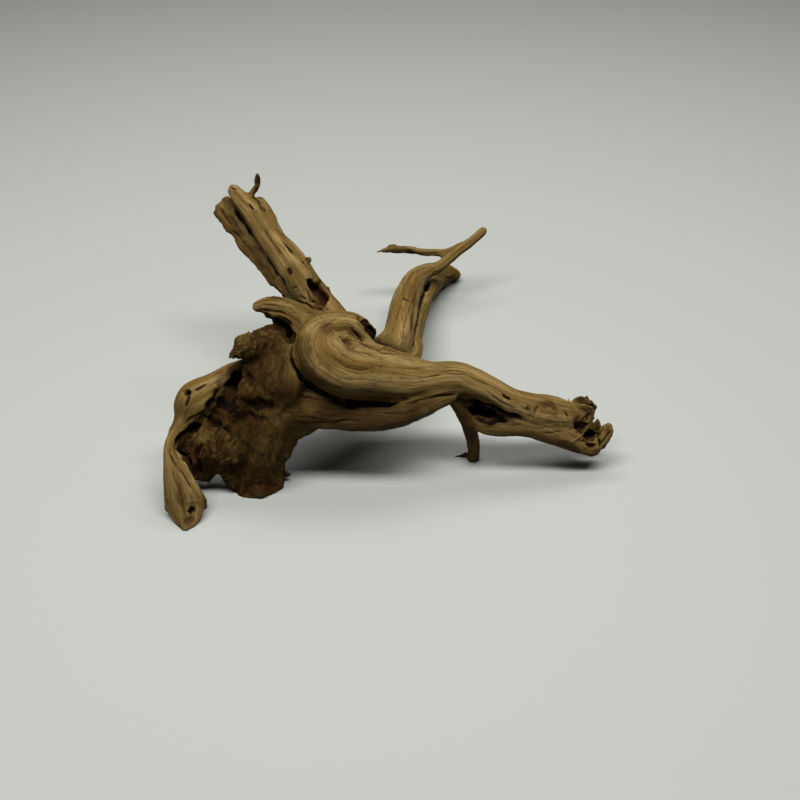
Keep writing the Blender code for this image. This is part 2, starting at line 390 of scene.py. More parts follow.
def catmull_rom(p0, p1, p2, p3, t):
    """The row at t between p1 and p2, on the smooth curve through all four."""
    slope = p2 - p0
    bend = 2 * p0 - 5 * p1 + 4 * p2 - p3
    turn = 3 * p1 - p0 - 3 * p2 + p3
    return 0.5 * (2 * p1 + slope * t + bend * t ** 2 + turn * t ** 3)


def sampled(stations):
    """Rows of x, y, z, wide, deep about STEP_ALONG apart, moved to the frame's origin."""
    rows = np.array(stations, float)
    rows[:, :3] -= np.array(STATIONS_MIDDLE)
    held = [2 * rows[0] - rows[1], *rows, 2 * rows[-1] - rows[-2]]
    found = []
    for p0, p1, p2, p3 in zip(held, held[1:], held[2:], held[3:]):
        count = max(FEWEST_STEPS, round(np.linalg.norm(p2[:3] - p1[:3]) / STEP_ALONG))
        found += [catmull_rom(p0, p1, p2, p3, i / count) for i in range(count)]
    found.append(rows[-1])
    return np.array(found)


# %% Each strand's own directions
Line = namedtuple("Line", "middles tangents across out wide deep along")
LEAST_HALF = 0.5
TINY = 1e-9


def unit(vectors):
    """The vectors, each made one long."""
    return vectors / np.maximum(np.linalg.norm(vectors, axis=-1, keepdims=True), TINY)


def strand_line(stations):
    """The strand's samples, with the direction along it and the two across it at each."""
    rows = sampled(stations)
    middles = rows[:, :3]
    tangents = unit(np.gradient(middles, axis=0))
    across = unit(np.cross(tangents, np.array(sight)))
    out = np.cross(across, tangents)
    steps = np.linalg.norm(np.diff(middles, axis=0), axis=1)
    along = np.concatenate([[0], np.cumsum(steps)])
    wide = np.maximum(rows[:, 3], LEAST_HALF)
    deep = np.maximum(rows[:, 4], LEAST_HALF)
    return Line(middles, tangents, across, out, wide, deep, along)


LINES = {name: strand_line(strand.stations) for name, strand in STRANDS.items()}
print("the main strand is", round(LINES["main_strand"].along[-1]), "mm long")

# %% [markdown]
# ## The broken ends
# Where a limb snapped, the wood ends in thin plates and points, which a smooth solid can't have. Each is
# drawn as an outline in the picture, set at the depth of the wood that it grew on, and given a thickness.
# Notches are made the same way, and are cut out. This is quicker than modelling each splinter, and the
# outline is exactly right.

# %% From a picture point to a place in space
def ray(u, v):
    """The direction in which the camera sees the picture point."""
    direction = sight * focal + Vector((1, 0, 0)) * (u - PICTURE / 2) + picture_up * (PICTURE / 2 - v)
    return direction.normalized()


def place_at_depth(u, v, y):
    """The place under a picture point at y millimetres into the scene."""
    direction = ray(u, v)
    return eye + direction * ((y * MM - eye.y) / direction.y)


# %% A plate with an outline drawn in the picture
Plate = namedtuple("Plate", "outline depth thick lean", defaults=(0.0,))


def plate_mesh(name, plates):
    """Closed flat pieces. A plate's depth is its y in millimetres, and lean tips its top backwards."""
    points = []
    faces = []
    for plate in plates:
        first = len(points)
        count = len(plate.outline)
        low_v = max(v for u, v in plate.outline)
        fronts = []
        for u, v in plate.outline:
            fronts.append(place_at_depth(u, v, plate.depth + plate.lean * (low_v - v)))
        backs = [point + sight * plate.thick * MM for point in fronts]
        points += fronts + backs
        faces.append([first + i for i in range(count)])
        faces.append([first + count + i for i in reversed(range(count))])
        for i in range(count):
            j = (i + 1) % count
            faces.append([first + i, first + count + i, first + count + j, first + j])
    mesh = bpy.data.meshes.new(name)
    mesh.from_pydata([tuple(point) for point in points], [], faces)
    shell = bmesh.new()
    shell.from_mesh(mesh)
    bmesh.ops.recalc_face_normals(shell, faces=shell.faces)
    shell.to_mesh(mesh)
    shell.free()
    return mesh


# %% The plates and splinters
SHARDS = {
    "crown_left": Plate(
        [(569, 404), (576, 399), (581, 396), (581, 401), (584, 409), (583, 416), (575, 413)],
        -66, 2.2, 0.2,
    ),
    "crown_middle": Plate(
        [(582, 402), (584, 398), (587, 395), (590, 397), (592, 404), (590, 416), (582, 414)],
        -64, 2.0, 0.2,
    ),
    "crown_right": Plate(
        [(590, 399), (593, 400), (595, 404), (597, 407), (596, 411), (594, 420), (588, 418)],
        -66, 2.0, 0.1,
    ),
    "crown_body": Plate(
        [(575, 408), (583, 404), (593, 407), (594, 416), (591, 426), (585, 430), (577, 424)],
        -71, 5.0,
    ),
    "spike": Plate([(594, 424), (596, 420), (598, 418), (600, 422), (602, 430), (597, 434)], -73, 2.0),
    "tooth_left": Plate([(600, 431), (603, 428), (606, 425), (606, 429), (604, 436), (600, 441)], -76, 2.0),
    "tooth_right": Plate(
        [(604, 430), (609, 426), (613, 428), (613, 433), (609, 441), (603, 448), (599, 448)],
        -79, 2.4,
    ),
    "lip": Plate([(586, 444), (594, 446), (599, 452), (597, 456), (591, 457), (583, 453)], -83, 2.2),
    "bud": Plate(
        [(257, 172.5), (259, 175), (260, 180), (258, 185), (254, 184), (254, 179), (255, 175)],
        43, 2.4,
    ),
    "gap_web": Plate([(318, 386), (343, 389), (354, 397), (348, 405), (328, 404), (316, 395)], -64, 6.0),
    "stub_web": Plate([(272, 319), (280, 317), (292, 324), (293, 340), (285, 344), (278, 333)], -57, 6.0),
    "cave_web": Plate([(171, 441), (184, 441), (194, 456), (190, 466), (178, 459), (171, 451)], -91, 6.0),
    "twig_scar": Plate([(254, 186), (258, 187), (258, 190), (254, 194), (251, 192)], 43, 2.4),
    "toe": Plate([(467, 452), (468, 458), (461, 457), (455, 456), (461, 455)], -74, 2.0),
    "stub_fringe": Plate([(262, 311), (272, 314), (281, 318), (276, 320), (269, 318), (265, 317)], -57, 2.2),
    "branch_nub": Plate([(322, 284), (330, 288), (329, 291), (323, 290)], -18, 2.4),
    "branch_nub_high": Plate([(305, 257), (310, 257), (311, 261), (306, 264)], -4, 2.6),
    "cavity_lip": Plate([(311, 283), (316, 279), (321, 278), (321, 281), (316, 285)], -18, 2.4),
    "heel": Plate([(194, 486), (201, 493), (206, 500), (206, 509), (199, 508), (194, 498)], -119, 4.0),
    "hoof_corner": Plate([(165, 497), (164, 509), (170, 515), (176, 515), (174, 500)], -124, 4.0),
    "twig_end": Plate([(385, 248), (389, 244.5), (396, 244), (398, 250), (391, 251.5)], 102, 3.0),
    "twig_fibre": Plate(
        [(376, 252.5), (380, 250), (386, 248), (390, 247), (390, 249.5), (382, 251)],
        99, 1.6,
    ),
    "foot_nub": Plate([(283, 470), (289, 472), (292, 475), (287, 477), (282, 478)], -96, 3.0),
}

# The fan's sizes are in picture points, but its depth and thickness are in millimetres.
FAN_SEED = 5
FAN_COUNT = 16
FAN_FOOT = ((568, 411), (593, 419))
FAN_STRAY = (-0.8, 0.8)
FAN_TALL = (8.0, 19.0)
FAN_SIDE_SHARE = 0.55
FAN_PEAK_SHIFT = 0.15
FAN_WIDE = (1.6, 3.2)
FAN_LEAN = (-1.5, 2.5)
FAN_DEPTH = (-71, -62)
FAN_THICK = 1.3


def splinter_fan():
    """Thin pointed plates side by side along the crown's foot, each with its own height, lean and depth."""
    chance = np.random.default_rng(FAN_SEED)
    (left, left_low), (right, right_low) = FAN_FOOT
    plates = []
    for i in range(FAN_COUNT):
        share = (i + 0.5) / FAN_COUNT
        u = left + (right - left) * share + chance.uniform(*FAN_STRAY)
        low = left_low + (right_low - left_low) * share
        arch = math.sin(math.pi * min(1, FAN_PEAK_SHIFT + share))
        high = low - chance.uniform(*FAN_TALL) * (FAN_SIDE_SHARE + (1 - FAN_SIDE_SHARE) * arch)
        wide = chance.uniform(*FAN_WIDE)
        tip = u + chance.uniform(*FAN_LEAN)
        outline = [(u - wide / 2, low), (u + wide / 2, low), (tip + 0.5, high + 1), (tip - 0.3, high)]
        plates.append(Plate(outline, chance.uniform(*FAN_DEPTH), FAN_THICK))
    return plates


FAN = splinter_fan()

NOTCHES = {
    "crown_gap": Plate([(581, 392), (584, 393), (583, 401), (581.5, 401)], -84, 40),
    "crown_slope": Plate([(560, 388), (577, 388), (575, 399), (567, 401.5)], -66, 30),
    "spike_gap": Plate(
        [(594.5, 404), (604, 404), (603, 417), (598, 417), (595, 422), (593.5, 421)],
        -90, 40,
    ),
    "tooth_gap": Plate([(600, 414), (607, 414), (603.5, 427), (601.5, 430)], -95, 40),
}

shards = plate_mesh("shards", [*SHARDS.values(), *FAN])
notches = plate_mesh("notches", NOTCHES.values())
print(len(SHARDS) + len(FAN), "shards and", len(NOTCHES), "notches")

# %% [markdown]
# ## A finer skin
# The solid has flat facets a few millimetres wide. Its copy first loses the notches in a Boolean and
# gains the shards, and a voxel remesh then wraps all of it in one even skin, fine enough for the grain.
# Remeshing suits a grown thing: it has no seams and no edges to keep.

# %% Copy, notch and wrap
SKIN_VOXEL = 0.62
WELD_APART = 0.01


def applied(thing):
    """The object's mesh with its modifiers applied."""
    shown = thing.evaluated_get(bpy.context.evaluated_depsgraph_get())
    mesh = bpy.data.meshes.new_from_object(shown)
    thing.modifiers.clear()
    return mesh


def joined(name, meshes):
    """One mesh of several, side by side."""
    points = []
    faces = []
    for mesh in meshes:
        first = len(points)
        points += [tuple(vertex.co) for vertex in mesh.vertices]
        faces += [[first + i for i in polygon.vertices] for polygon in mesh.polygons]
    made = bpy.data.meshes.new(name)
    made.from_pydata(points, [], faces)
    return made


wood = bpy.data.objects.new("worn_wood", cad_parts["driftwood"].data.copy())
bpy.context.scene.collection.objects.link(wood)
notcher = bpy.data.objects.new("notcher", notches)
bpy.context.scene.collection.objects.link(notcher)

weld = wood.modifiers.new("weld", "WELD")
weld.merge_threshold = WELD_APART * MM
notch = wood.modifiers.new("notch", "BOOLEAN")
notch.operation = "DIFFERENCE"
notch.solver = "EXACT"
notch.use_self = True
notch.object = notcher
wood.data = joined("worn_wood", [applied(wood), shards])
bpy.data.objects.remove(notcher)

wrap = wood.modifiers.new("wrap", "REMESH")
wrap.mode = "VOXEL"
wrap.voxel_size = SKIN_VOXEL * MM
wood.data = applied(wood)
print("skin of", len(wood.data.vertices), "points")

# %% [markdown]
# A root is one piece, so a crumb that the notches cut free would have nothing to hang on. The parts of
# the skin that don't touch are found by walking from point to point, and only the largest is kept.

# %% Keep what hangs together
def separate_parts(shell):
    """The mesh's parts that touch nowhere, each as a list of its points."""
    left = set(shell.verts)
    found = []
    while left:
        waiting = [left.pop()]
        part = []
        while waiting:
            vertex = waiting.pop()
            part.append(vertex)
            for edge in vertex.link_edges:
                other = edge.other_vert(vertex)
                if other in left:
                    left.remove(other)
                    waiting.append(other)
        found.append(part)
    return found


shell = bmesh.new()
shell.from_mesh(wood.data)
parts = sorted(separate_parts(shell), key=len)
crumbs = [vertex for part in parts[:-1] for vertex in part]
bmesh.ops.delete(shell, geom=crumbs, context="VERTS")
shell.to_mesh(wood.data)
shell.free()
print("dropped", len(parts) - 1, "loose bits of", len(crumbs), "points together")

# %% The skin as arrays of numbers
def skin_arrays(mesh):
    """The skin's points in millimetres, and the two ends of each of its edges."""
    points = np.empty(len(mesh.vertices) * 3, np.float32)
    mesh.vertices.foreach_get("co", points)
    ends = np.empty(len(mesh.edges) * 2, np.int32)
    mesh.edges.foreach_get("vertices", ends)
    return points.reshape(-1, 3).astype(float) / MM, ends.reshape(-1, 2)


def neighbour_mean(values, ends):
    """For each point, the mean of the values at the points that it shares an edge with."""
    count = len(values)
    sides = np.concatenate([ends[:, 0], ends[:, 1]])
    others = np.concatenate([ends[:, 1], ends[:, 0]])
    shared = np.maximum(np.bincount(sides, minlength=count), 1)
    if values.ndim == 1:
        return np.bincount(sides, values[others], count) / shared
    columns = [np.bincount(sides, values[others, k], count) / shared for k in range(values.shape[1])]
    return np.stack(columns, 1)


def normals_of(mesh):
    """The smooth normal at each point."""
    found = np.empty(len(mesh.vertices) * 3, np.float32)
    mesh.vertex_normals.foreach_get("vector", found)
    return found.reshape(-1, 3).astype(float)


def set_points(mesh, points):
    """Puts the points, in millimetres, back into the mesh."""
    mesh.vertices.foreach_set("co", (points * MM).astype(np.float32).ravel())
    mesh.update()


# %% [markdown]
# Wrapping keeps the solid's facets and adds small steps of its own. Plain smoothing would remove both,
# but it would also shrink the twigs. Taubin's way moves every point towards its neighbours and then a
# little further back, so small bumps go and thickness stays.

# %% Smooth without shrinking
SMOOTH_ROUNDS = 22
SMOOTH_IN = 0.5
SMOOTH_OUT = -0.52
FOOT_HEIGHT = 0.4

skin, ends = skin_arrays(wood.data)
feet = skin[:, 2] < FOOT_HEIGHT
for _ in range(SMOOTH_ROUNDS):
    for share in (SMOOTH_IN, SMOOTH_OUT):
        skin += share * (neighbour_mean(skin, ends) - skin)
skin[feet, 2] = 0
set_points(wood.data, skin)
normals = normals_of(wood.data)
facing_up = normals[:, 2]
print("smoothed", len(skin), "points;", int(feet.sum()), "of them on the feet")

# %% [markdown]
# ## Which strand a point belongs to
# Distance alone would give a thin strand beside a thick one too little, so the distance from a middle
# line is counted in the strand's own widths. A point near two strands belongs a little to both, and what
# is done to the skin is shared out in the same way, so there is no step where they meet.

# %% Weigh the strands at every point
BELONG_SHARPNESS = 7.0
REACH = 30.0
LEAST_WEIGHT = 0.03

Belonging = namedtuple("Belonging", "near width grain")


def belonging(points, line):
    """The points near a strand, how many strand widths from it they are, and their grain coordinates."""
    inside = np.all(points > line.middles.min(0) - REACH, axis=1)
    inside &= np.all(points < line.middles.max(0) + REACH, axis=1)
    near = np.flatnonzero(inside)
    here = points[near]
    nearest = np.argmin(((here[:, None] - line.middles[None]) ** 2).sum(2), axis=1)
    away = here - line.middles[nearest]
    ahead = (away * line.tangents[nearest]).sum(1)
    sideways = (away * line.across[nearest]).sum(1)
    outward = (away * line.out[nearest]).sum(1)
    wide = line.wide[nearest]
    deep = line.deep[nearest]
    past_end = np.maximum(np.abs(ahead) - STEP_ALONG, 0) / np.minimum(wide, deep)
    width = np.sqrt((sideways / wide) ** 2 + (outward / deep) ** 2 + past_end ** 2)
    grain = np.stack([
        sideways / wide * line.wide.mean(),
        outward / deep * line.deep.mean(),
        line.along[nearest] + ahead,
    ], 1)
    return Belonging(near, width, grain)


found = {name: belonging(skin, line) for name, line in LINES.items()}
closest = np.full(len(skin), np.inf)
for part in found.values():
    closest[part.near] = np.minimum(closest[part.near], part.width)

weights = {}
total = np.zeros(len(skin))
for name, part in found.items():
    weight = np.exp(-BELONG_SHARPNESS * (part.width - closest[part.near]))
    weight[weight < LEAST_WEIGHT] = 0
    weights[name] = weight
    total[part.near] += weight

# %% Spread the strands' qualities over the skin
# Each strand's grain coordinates start this far from the last one's, so no two strands share a pattern.
GRAIN_APART = 137.0

rough = np.zeros(len(skin))
dark = np.zeros(len(skin))
grain = np.zeros((len(skin), 3))
best = np.zeros(len(skin))

for number, (name, part) in enumerate(found.items()):
    share = weights[name] / total[part.near]
    rough[part.near] += share * STRANDS[name].rough
    dark[part.near] += share * STRANDS[name].dark
    wins = share > best[part.near]
    rows = part.near[wins]
    best[rows] = share[wins]
    grain[rows] = part.grain[wins] + number * GRAIN_APART
print("mean roughness", round(rough.mean(), 2), "and darkness", round(dark.mean(), 2))

# %% [markdown]
# ## Grain
# Sand wears the soft wood between the hard year rings, so the skin has long low ridges with sharp furrows
# between. The absolute value of a noise has just that profile. The noise is stretched some ten times
# along the strand and laid in three sizes. Crumbled wood folds and pits instead. There a second noise
# first pushes every place about, so that lumps and ridges bend round each other, and short coarse fibres
# are laid over them.

# %% Ridges and lumps
# A size of furrow or fibre is its distance across, its length along and its height. A size of lump is its
# width, how many times taller it is, and its height.
FURROWS_MM = ((9.0, 70.0, 0.85), (3.6, 42.0, 0.55), (1.9, 26.0, 0.30))
LUMPS_MM = ((14.0, 1.8, 4.2), (7.0, 1.6, -2.6), (3.2, 1.4, 1.1), (1.7, 1.3, -0.5))
FIBRES_MM = ((3.2, 17.0, 1.05), (1.7, 11.0, 0.7))
FOLD_SIZE = 9.0
FOLD_PUSH = 3.2
MEAN_BILLOW = 0.2
LEAST_ROUGH = 0.02
ROUGH_HIDES = 0.75
NOISE_SEED = 4

# Without a seed, the noise that pushes places about would differ in every run.
noise.seed_set(NOISE_SEED)


def billow(x, y, z):
    """A noise that is 0 in sharp furrows and rises on both sides of them."""
    return abs(noise.noise((x, y, z))) - MEAN_BILLOW


def grain_relief(rows, sizes):
    """Height of the ridges that run along the grain, in millimetres."""
    height = np.zeros(len(rows))
    for apart, along, tall in sizes:
        height += tall * np.array([billow(a / apart, b / apart, s / along) for a, b, s in rows])
    return height


def folded(rows):
    """The places after a noise has pushed them about."""
    pushes = [noise.noise_vector(Vector(row) / FOLD_SIZE) for row in rows]
    return rows + FOLD_PUSH * np.array(pushes)


def rough_relief(rows):
    """Height of crumbled lumps, a little taller than wide. A negative height makes ridges and pits."""
    height = np.zeros(len(rows))
    for size, tall_share, tall in LUMPS_MM:
        height += tall * np.array([billow(x / size, y / size, z / size / tall_share) for x, y, z in rows])
    return height


# %% Raise the grain
silky = np.zeros(len(skin))
fibrous = np.zeros(len(skin))
for number, (name, part) in enumerate(found.items()):
    used = weights[name] > 0
    rows = part.near[used]
    share = weights[name][used] / total[rows]
    places = part.grain[used] + number * GRAIN_APART
    silky[rows] += share * grain_relief(places, FURROWS_MM)
    if STRANDS[name].rough > LEAST_ROUGH:
        fibrous[rows] += share * grain_relief(places, FIBRES_MM)

crumbled = np.zeros(len(skin))
rough_rows = np.flatnonzero(rough > LEAST_ROUGH)
crumbled[rough_rows] = rough_relief(folded(skin[rough_rows]))
relief = silky * (1 - ROUGH_HIDES * rough) + (crumbled + fibrous) * rough
print("relief from", round(relief.min(), 2), "to", round(relief.max(), 2), "mm")

# %% [markdown]
# ## Cracks, creases and holes
# What makes this root itself are its marks: the crease between two strands, the fold that the head curls
# into, knot holes, splits and worn hollows. Each is a line drawn in the picture. Rays from the camera
# carry the line onto the skin, and the skin is pressed in along it. The numbers after a line are its half
# width and depth in millimetres, then how dark and how red it is inside. The darkness is dark dirt and
# painted shade in the cracks, creases and hollows, and some marks of depth 0 paint only the shade that
# falls under other wood. A negative depth raises a ridge, and a depth of 0 only colours. A real crack
# never keeps one width, so a noise widens and narrows each mark along its way.

# %% The marks
Mark = namedtuple("Mark", "line width depth dark red", defaults=(0.0, 0.0))

HEAD_MARKS = {
    "fold_pocket": Mark(
        [(362, 321), (368, 327), (373, 334), (378, 340), (384, 345), (390, 347)],
        3.4, 3.2, 1.0, 0.3,
    ),
    "fold_lip": Mark([(354, 321), (359, 329), (366, 337), (374, 344), (384, 349), (398, 351)], 1.5, -1.3),
    "fold_ridge": Mark([(347, 320), (355, 326), (362, 334), (370, 342), (380, 348), (394, 351)], 3.6, -1.6),
    "fold_groove": Mark(
        [(350, 327), (356, 335), (363, 342), (372, 348), (384, 353), (398, 355)],
        1.4, 1.2, 0.35, 0.1,
    ),
    "second_lip": Mark([(350, 335), (357, 343), (366, 350), (378, 355), (392, 358)], 1.3, -0.7),
    "second_groove": Mark([(348, 339), (355, 347), (364, 353), (376, 358), (390, 360)], 1.2, 0.6, 0.15),
    "inner_valley": Mark([(341, 335), (346, 341), (352, 347), (359, 351)], 4.8, 2.2, 0.5, 0.15),
    "curl_1": Mark([(338, 350), (344, 357), (354, 362), (366, 363)], 1.2, 0.5, 0.12),
    "curl_2": Mark([(328, 348), (334, 359), (345, 367), (360, 369), (378, 368)], 1.3, 0.5, 0.12),
    "curl_3": Mark([(314, 350), (320, 364), (332, 374), (348, 379), (370, 379)], 1.4, 0.55, 0.15),
    "curl_4": Mark([(303, 356), (309, 369), (320, 380), (336, 387), (356, 390), (380, 389)], 1.4, 0.7, 0.25),
    "top_curl_1": Mark([(322, 333), (327, 326), (335, 320), (345, 318)], 1.2, 0.7, 0.15),
    "top_curl_2": Mark([(305, 330), (311, 322), (320, 317), (331, 315), (342, 316)], 1.2, 0.5, 0.1),
    # The first of the next three marks paints shade into the valley in the middle of the head; the other two
    # darken the head along its left and lower edges.
    "valley_shade": Mark([(322, 326), (331, 332), (340, 341)], 7.5, 0, 0.45, 0.1),
    "brown_edge": Mark([(304, 328), (300, 345), (303, 362), (314, 380), (330, 390)], 8.0, 0, 0.58, 0.1),
    "brown_low": Mark([(322, 392), (345, 396), (370, 398), (395, 397)], 5.0, 0, 0.5, 0.1),
}

STRAND_MARKS = {
    "head_gap": Mark(
        [(293, 344), (291, 355), (294, 368), (301, 379), (310, 388), (321, 394), (334, 397)],
        1.8, 3.2, 1.0,
    ),
    "strand_crack": Mark(
        [(340, 399), (352, 400), (364, 401), (376, 404), (389, 405), (402, 403)],
        2.0, 3.5, 1.0,
    ),
    "under_crease": Mark([(400, 404), (419, 400), (440, 396), (459, 394)], 1.3, 1.6, 0.6),
    "lower_ridge": Mark([(276, 402), (288, 409), (301, 414), (317, 416), (331, 418), (350, 418)], 1.8, -0.9),
    "lower_crease": Mark([(286, 420), (304, 423), (322, 423), (344, 421), (364, 421)], 1.2, 1.0, 0.5),
    "belly_crease": Mark([(352, 409), (372, 412), (392, 414), (412, 411)], 1.0, 0.9, 0.4),
    "back_wave_1": Mark(
        [(404, 380), (424, 378), (446, 373), (468, 375), (486, 384), (502, 395)],
        0.9, 0.7, 0.3,
    ),
    "back_wave_2": Mark(
        [(392, 369), (414, 369), (440, 366), (462, 368), (478, 376), (492, 385)],
        0.9, 0.6, 0.25,
    ),
    "slit": Mark([(502, 394), (506, 397), (511, 399)], 1.7, 3.2, 1.0, 0.3),
    # This mark paints the shade under the limb's belly.
    "belly_shade": Mark([(296, 420), (330, 421), (365, 424), (400, 419), (432, 406)], 9.0, 0, 0.66),
    "crease_shade": Mark([(318, 400), (345, 405), (375, 408), (410, 407), (440, 401)], 4.0, 0, 0.7),
    "olive_ridge": Mark([(300, 409), (325, 413), (350, 412)], 2.0, -0.7),
    "end_wave": Mark([(486, 392), (500, 401), (514, 407), (528, 410), (536, 411)], 0.9, 0.7, 0.3),
}

HOLLOW_MARKS = {
    "trough_top": Mark(
        [(460, 399), (472, 401), (484, 404), (495, 408), (508, 415), (526, 421)],
        3.8, 3.2, 1.0,
    ),
    "trough_mid": Mark([(462, 406), (475, 410), (488, 413), (503, 418)], 5.0, 3.0, 1.0),
    "trough_low": Mark([(472, 418), (484, 421), (496, 421), (508, 421)], 4.2, 2.2, 1.0),
    "trough_lip": Mark([(470, 427), (484, 426), (500, 424), (514, 424), (528, 423)], 1.6, 0, 0.6),
    "end_bulge": Mark([(546, 408), (554, 412), (562, 416), (568, 420)], 8.0, -2.2),
    "end_dent": Mark([(528, 406), (530, 414), (529, 420)], 3.2, 1.4, 0.3),
    "knot_brow": Mark([(540, 403), (546, 401), (552, 402), (557, 405)], 1.8, 0.8, 0.35, 0.4),
    "knot_patch": Mark([(541, 407), (547, 405), (553, 407), (550, 411)], 3.8, 0.9, 0.5, 0.4),
    "knot_crack": Mark([(532, 420), (534, 414), (536, 409), (540, 404)], 1.6, 0.9, 0.3, 0.2),
    "round_hole": Mark([(565, 413), (566, 416)], 1.9, 3.0, 0.9, 0.8),
    "crumbled_end": Mark([(573, 418), (580, 421), (587, 424)], 6.0, 1.0, 0.5, 0.45),
    "split": Mark([(570, 430), (576, 427), (581, 422), (586, 416), (590, 414)], 1.0, 1.8, 0.9),
    "split_2": Mark([(572, 421), (577, 419), (582, 414)], 0.9, 1.3, 0.7, 0.3),
    "split_3": Mark([(577, 427), (583, 428), (588, 423)], 1.0, 1.5, 0.9, 0.3),
    "split_4": Mark([(575, 434), (581, 430), (586, 428)], 0.9, 1.2, 0.8, 0.3),
    "broken_edge": Mark([(572, 442), (580, 436), (588, 428), (592, 420)], 1.2, -1.2),
    "end_opening": Mark([(582, 439), (589, 435), (597, 436)], 4.0, 6.0, 1.0),
    "end_opening_low": Mark([(584, 443), (590, 445), (596, 443)], 1.8, 2.2, 0.9, 0.5),
    "tooth_furrow": Mark([(599, 445), (604, 440), (609, 433), (612, 429)], 0.9, 1.4, 0.9),
    "tooth_root": Mark([(598, 437), (600, 442), (600, 448)], 1.2, 2.0, 1.0),
    "end_belly": Mark([(538, 433), (552, 433), (566, 431)], 1.2, 0.7, 0.3),
    "end_shadow": Mark([(552, 438), (562, 443), (574, 449), (585, 454)], 3.0, 0, 0.8, 0.3),
}

STUMP_MARKS = {
    "cave": Mark([(199, 425), (191, 430), (182, 437), (173, 447)], 3.2, 5.0, 1.0),
    "cave_deep": Mark([(203, 424), (197, 428), (194, 434)], 3.6, 4.0, 1.0),
    "cave_below": Mark([(175, 449), (184, 456), (190, 464), (194, 474)], 2.4, 3.0, 1.0, 0.2),
    "leg_seam_top": Mark([(242, 368), (237, 376), (230, 383), (223, 388)], 4.6, 4.2, 1.0),
    "leg_seam": Mark([(223, 388), (217, 395), (211, 403), (207, 413)], 3.8, 3.8, 1.0, 0.3),
    "leg_crease": Mark([(184, 424), (194, 416), (204, 411), (213, 411)], 1.4, 1.4, 0.6, 0.4),
    "knot_hole": Mark([(184, 391), (188, 393), (192, 392)], 2.4, 3.5, 1.0),
    "knot_tail": Mark([(190, 394), (188, 401), (185, 408)], 1.3, 2.0, 0.8, 0.3),
    "leg_split": Mark([(193, 391), (198, 389), (203, 386), (208, 383)], 1.0, 1.1, 0.6, 0.2),
    "leg_furrow_1": Mark([(169, 452), (177, 464), (186, 478), (194, 490)], 1.8, 1.3, 0.2, 0.3),
    "leg_furrow_2": Mark([(171, 464), (175, 478), (180, 492), (184, 503)], 1.6, 0.9, 0.15, 0.3),
    "leg_edge": Mark([(174, 449), (183, 462), (191, 476), (198, 490)], 1.6, -1.2),
    "leg_stain": Mark([(176, 490), (181, 500), (184, 508)], 3.6, 0, 0.35, 0.35),
    "hoof_hole": Mark([(186, 514), (191, 513), (196, 507)], 3.6, 3.2, 1.0, 0.4),
    "hoof_rim": Mark([(182, 504), (190, 501), (199, 501), (204, 506)], 1.2, -0.5),
    "hoof_face": Mark([(178, 518), (187, 521), (196, 515)], 3.6, 0.8, 0.40, 0.4),
    "hollow_floor": Mark([(213, 398), (226, 403), (240, 409)], 8.0, 2.4, 1.0, 0.3),
    "hollow_left": Mark([(206, 417), (213, 424), (224, 422)], 4.6, 3.0, 1.0, 0.2),
    # These two marks paint shade into the crevice of the stump beside the leg.
    "crevice": Mark([(212, 390), (224, 394), (238, 396), (250, 404)], 10.0, 0, 0.72, 0.2),
    "crevice_low": Mark([(206, 408), (218, 414), (232, 414), (246, 416)], 7.0, 0, 0.78, 0.25),
    "mass_hollow": Mark([(202, 447), (197, 457), (198, 467), (205, 475)], 3.8, 2.6, 0.9, 0.7),
    "mass_ring": Mark([(183, 441), (187, 438), (191, 441), (190, 446), (185, 447)], 1.2, 1.4, 0.8, 0.8),
    "mass_crack": Mark([(221, 427), (228, 431), (232, 438), (228, 446)], 1.5, 1.6, 0.8, 0.5),
    "body_hollow_1": Mark([(240, 398), (250, 402), (262, 407), (278, 409)], 5.8, 2.8, 1.0, 0.3),
    "body_hollow_2": Mark([(246, 414), (256, 419), (266, 420)], 3.8, 1.8, 0.85, 0.5),
    # This mark darkens the right side of the body.
    "body_right_dark": Mark([(270, 388), (287, 400), (300, 412), (294, 427)], 10.0, 0, 0.68),
    "body_hollow_3": Mark([(246, 370), (252, 380), (248, 390)], 3.2, 2.0, 0.85, 0.3),
    "body_fold_1": Mark([(268, 340), (264, 352), (260, 366), (258, 378)], 2.2, 1.6, 0.5, 0.1),
    "body_fold_2": Mark([(284, 362), (280, 376), (281, 390)], 2.4, 1.2, 0.5, 0.1),
    "body_shade": Mark([(258, 346), (256, 366), (262, 388)], 9.0, 0, 0.45),
    "low_shade": Mark([(232, 470), (252, 476), (276, 474)], 7.0, 0, 0.4),
    "knob_under": Mark([(244, 364), (256, 362), (266, 356)], 3.4, 1.6, 0.8),
    "knob_pit_1": Mark([(252, 338), (254, 344)], 2.0, 1.8, 0.7, 0.2),
    "knob_pit_2": Mark([(234, 356), (238, 359), (244, 361)], 2.2, 1.4, 0.85),
    "knob_dark_top": Mark([(262, 325), (270, 327), (276, 332)], 3.0, 1.0, 0.7),
    "lower_fold": Mark([(250, 440), (247, 455), (246, 470)], 2.4, 1.2, 0.4),
    "lower_fold_2": Mark([(268, 438), (270, 455), (268, 470)], 2.4, 1.0, 0.3),
    "end_face": Mark([(254, 486), (264, 484), (276, 486)], 4.6, 1.6, 0.5, 0.6),
    "end_rim": Mark([(249, 480), (258, 477), (270, 476), (281, 480)], 1.8, -0.6),
    "foot_shadow": Mark([(241, 490), (250, 494), (258, 495)], 2.2, 1.0, 0.8, 0.2),
}

